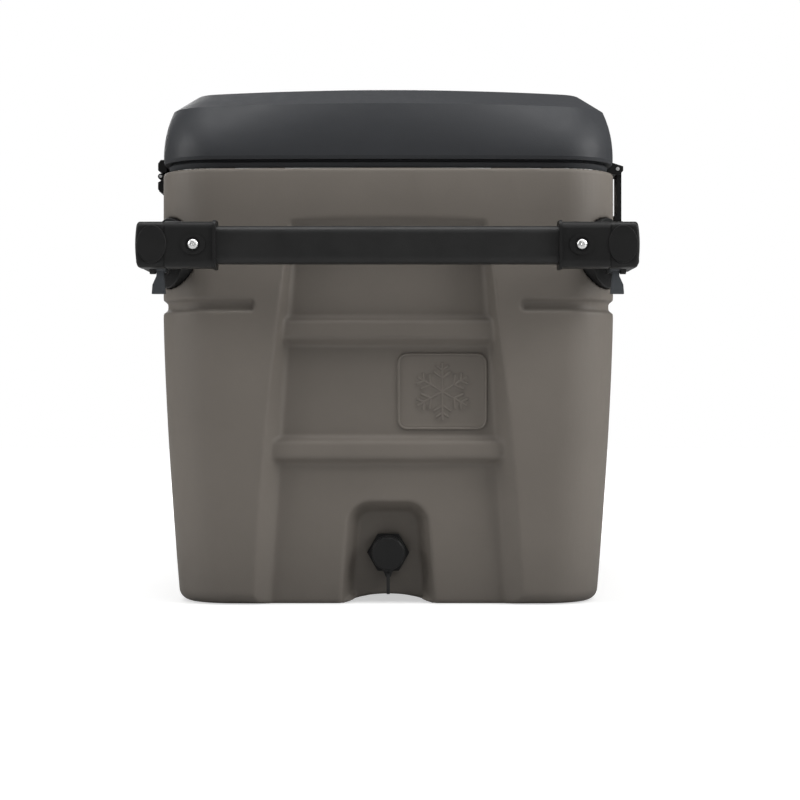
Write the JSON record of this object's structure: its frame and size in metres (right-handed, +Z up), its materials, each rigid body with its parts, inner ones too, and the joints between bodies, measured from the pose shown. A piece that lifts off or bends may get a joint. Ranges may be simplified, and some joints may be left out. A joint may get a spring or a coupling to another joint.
{
  "type": "cooler chest",
  "caption": "Wheeled insulated cooler chest with a hinged lid, side latches, a screw-cap drain, a rounded recessed end and a tilting, telescoping tow handle.",
  "frame": {"origin": "on the ground, at the centre of the overall footprint with the handle stowed", "axes": "+Z up; -Y towards the drain and tow handle end; +X towards the latches, -X towards the lid hinge"},
  "size_m": [0.512, 0.7686, 0.548],
  "materials": {
    "body_plastic": "fine matt moulded texture",
    "lid_plastic": "fine matt moulded texture",
    "liner_plastic": "smooth, easily wiped",
    "foam": "closed-cell foam",
    "rubber_seal": "satin rubber",
    "tyre_rubber": "matt rubber",
    "lever_plastic": "satin slate grey",
    "black_plastic": "satin black",
    "handle_paint": "satin black powder coat on aluminium",
    "steel": "bright plated"
  },
  "bodies": {
    "tub": {"outer_shell": "body_plastic", "insulation_body": "foam", "inner_liner": "liner_plastic", "hinge_body_leaves": "black_plastic", "hinge_pins": "steel", "hinge_body_screws": "steel", "latch_keepers": "black_plastic", "keeper_screws": "steel", "drain_fitting": "black_plastic", "drain_seal": "rubber_seal", "drain_nut": "black_plastic", "axle": "steel", "axle_clips": "steel", "axle_washers": "steel", "hub_screws": "steel", "pivot_housing_left": "black_plastic", "pivot_housing_right": "black_plastic"},
    "lid": {"lid_shell": "lid_plastic", "insulation_lid": "foam", "lid_liner": "liner_plastic", "lid_gasket": "rubber_seal", "hinge_lid_leaves": "black_plastic", "hinge_lid_screws": "steel", "latch_brackets": "black_plastic", "latch_pins": "steel"},
    "front_latch": {"latch_front": "black_plastic"},
    "rear_latch": {"latch_rear": "black_plastic"},
    "drain_cap_carrier": {"drain_tether_ring": "rubber_seal", "drain_tether": "rubber_seal"},
    "drain_cap_turner": {"drain_cap": "black_plastic"},
    "handle_pivot": {"pivot_guide_left": "black_plastic", "pivot_guide_right": "black_plastic", "pivot_retaining_rings": "steel", "lock_lever_pins": "steel"},
    "tow_handle": {"handle_tube": "handle_paint", "handle_rivets": "steel", "handle_corner_left": "black_plastic", "handle_corner_right": "black_plastic", "handle_corner_plug_left": "black_plastic", "handle_corner_plug_right": "black_plastic", "handle_arm_left": "handle_paint", "handle_arm_right": "handle_paint"},
    "left_lock_lever": {"lock_lever_left": "lever_plastic"},
    "right_lock_lever": {"lock_lever_right": "lever_plastic"},
    "left_wheel": {"wheel_tyre_left": "tyre_rubber", "wheel_rim_left": "black_plastic", "wheel_bush_left": "black_plastic", "wheel_cap_left": "black_plastic"},
    "right_wheel": {"wheel_tyre_right": "tyre_rubber", "wheel_rim_right": "black_plastic", "wheel_bush_right": "black_plastic", "wheel_cap_right": "black_plastic"}
  },
  "joints": [
    {"name": "lid_hinge", "type": "hinge", "parent": "tub", "child": "lid", "pos_m": [-0.248, 0, 0.4575], "axis": [0, -1, 0], "range_deg": [0, 100]},
    {"name": "front_latch_hinge", "type": "hinge", "parent": "lid", "child": "front_latch", "pos_m": [0.25, -0.1757, 0.466], "axis": [0, -1, 0], "range_deg": [-4.5, 100]},
    {"name": "rear_latch_hinge", "type": "hinge", "parent": "lid", "child": "rear_latch", "pos_m": [0.25, 0.2643, 0.466], "axis": [0, -1, 0], "range_deg": [-4.5, 100]},
    {"name": "drain_cap_advance", "type": "slide", "parent": "tub", "child": "drain_cap_carrier", "axis": [0, -1, 0], "range_m": [0, 0.009]},
    {"name": "drain_cap_turn", "type": "hinge", "parent": "drain_cap_carrier", "child": "drain_cap_turner", "pos_m": [0, -0.2587, 0.0525], "axis": [0, -1, 0], "range_deg": [0, 1080]},
    {"name": "handle_tilt", "type": "hinge", "parent": "tub", "child": "handle_pivot", "pos_m": [0, -0.26388, 0.369], "axis": [-1, 0, 0], "range_deg": [0, 50]},
    {"name": "handle_slide", "type": "slide", "parent": "handle_pivot", "child": "tow_handle", "axis": [0, -1, 0], "range_m": [0, 0.235]},
    {"name": "left_lock_lever_hinge", "type": "hinge", "parent": "handle_pivot", "child": "left_lock_lever", "pos_m": [-0.238, -0.30688, 0.35], "axis": [1, 0, 0], "range_deg": [-15, 15]},
    {"name": "right_lock_lever_hinge", "type": "hinge", "parent": "handle_pivot", "child": "right_lock_lever", "pos_m": [0.238, -0.30688, 0.35], "axis": [1, 0, 0], "range_deg": [-15, 15]},
    {"name": "left_wheel_spin", "type": "hinge", "parent": "tub", "child": "left_wheel", "pos_m": [-0.204, 0.2773, 0.105], "axis": [1, 0, 0], "continuous": true},
    {"name": "right_wheel_spin", "type": "hinge", "parent": "tub", "child": "right_wheel", "pos_m": [0.204, 0.2773, 0.105], "axis": [1, 0, 0], "continuous": true}
  ],
  "couplings": [
    {"joint": "drain_cap_advance", "follows": "drain_cap_turn", "m_per_rad": 0.00047746}
  ]
}
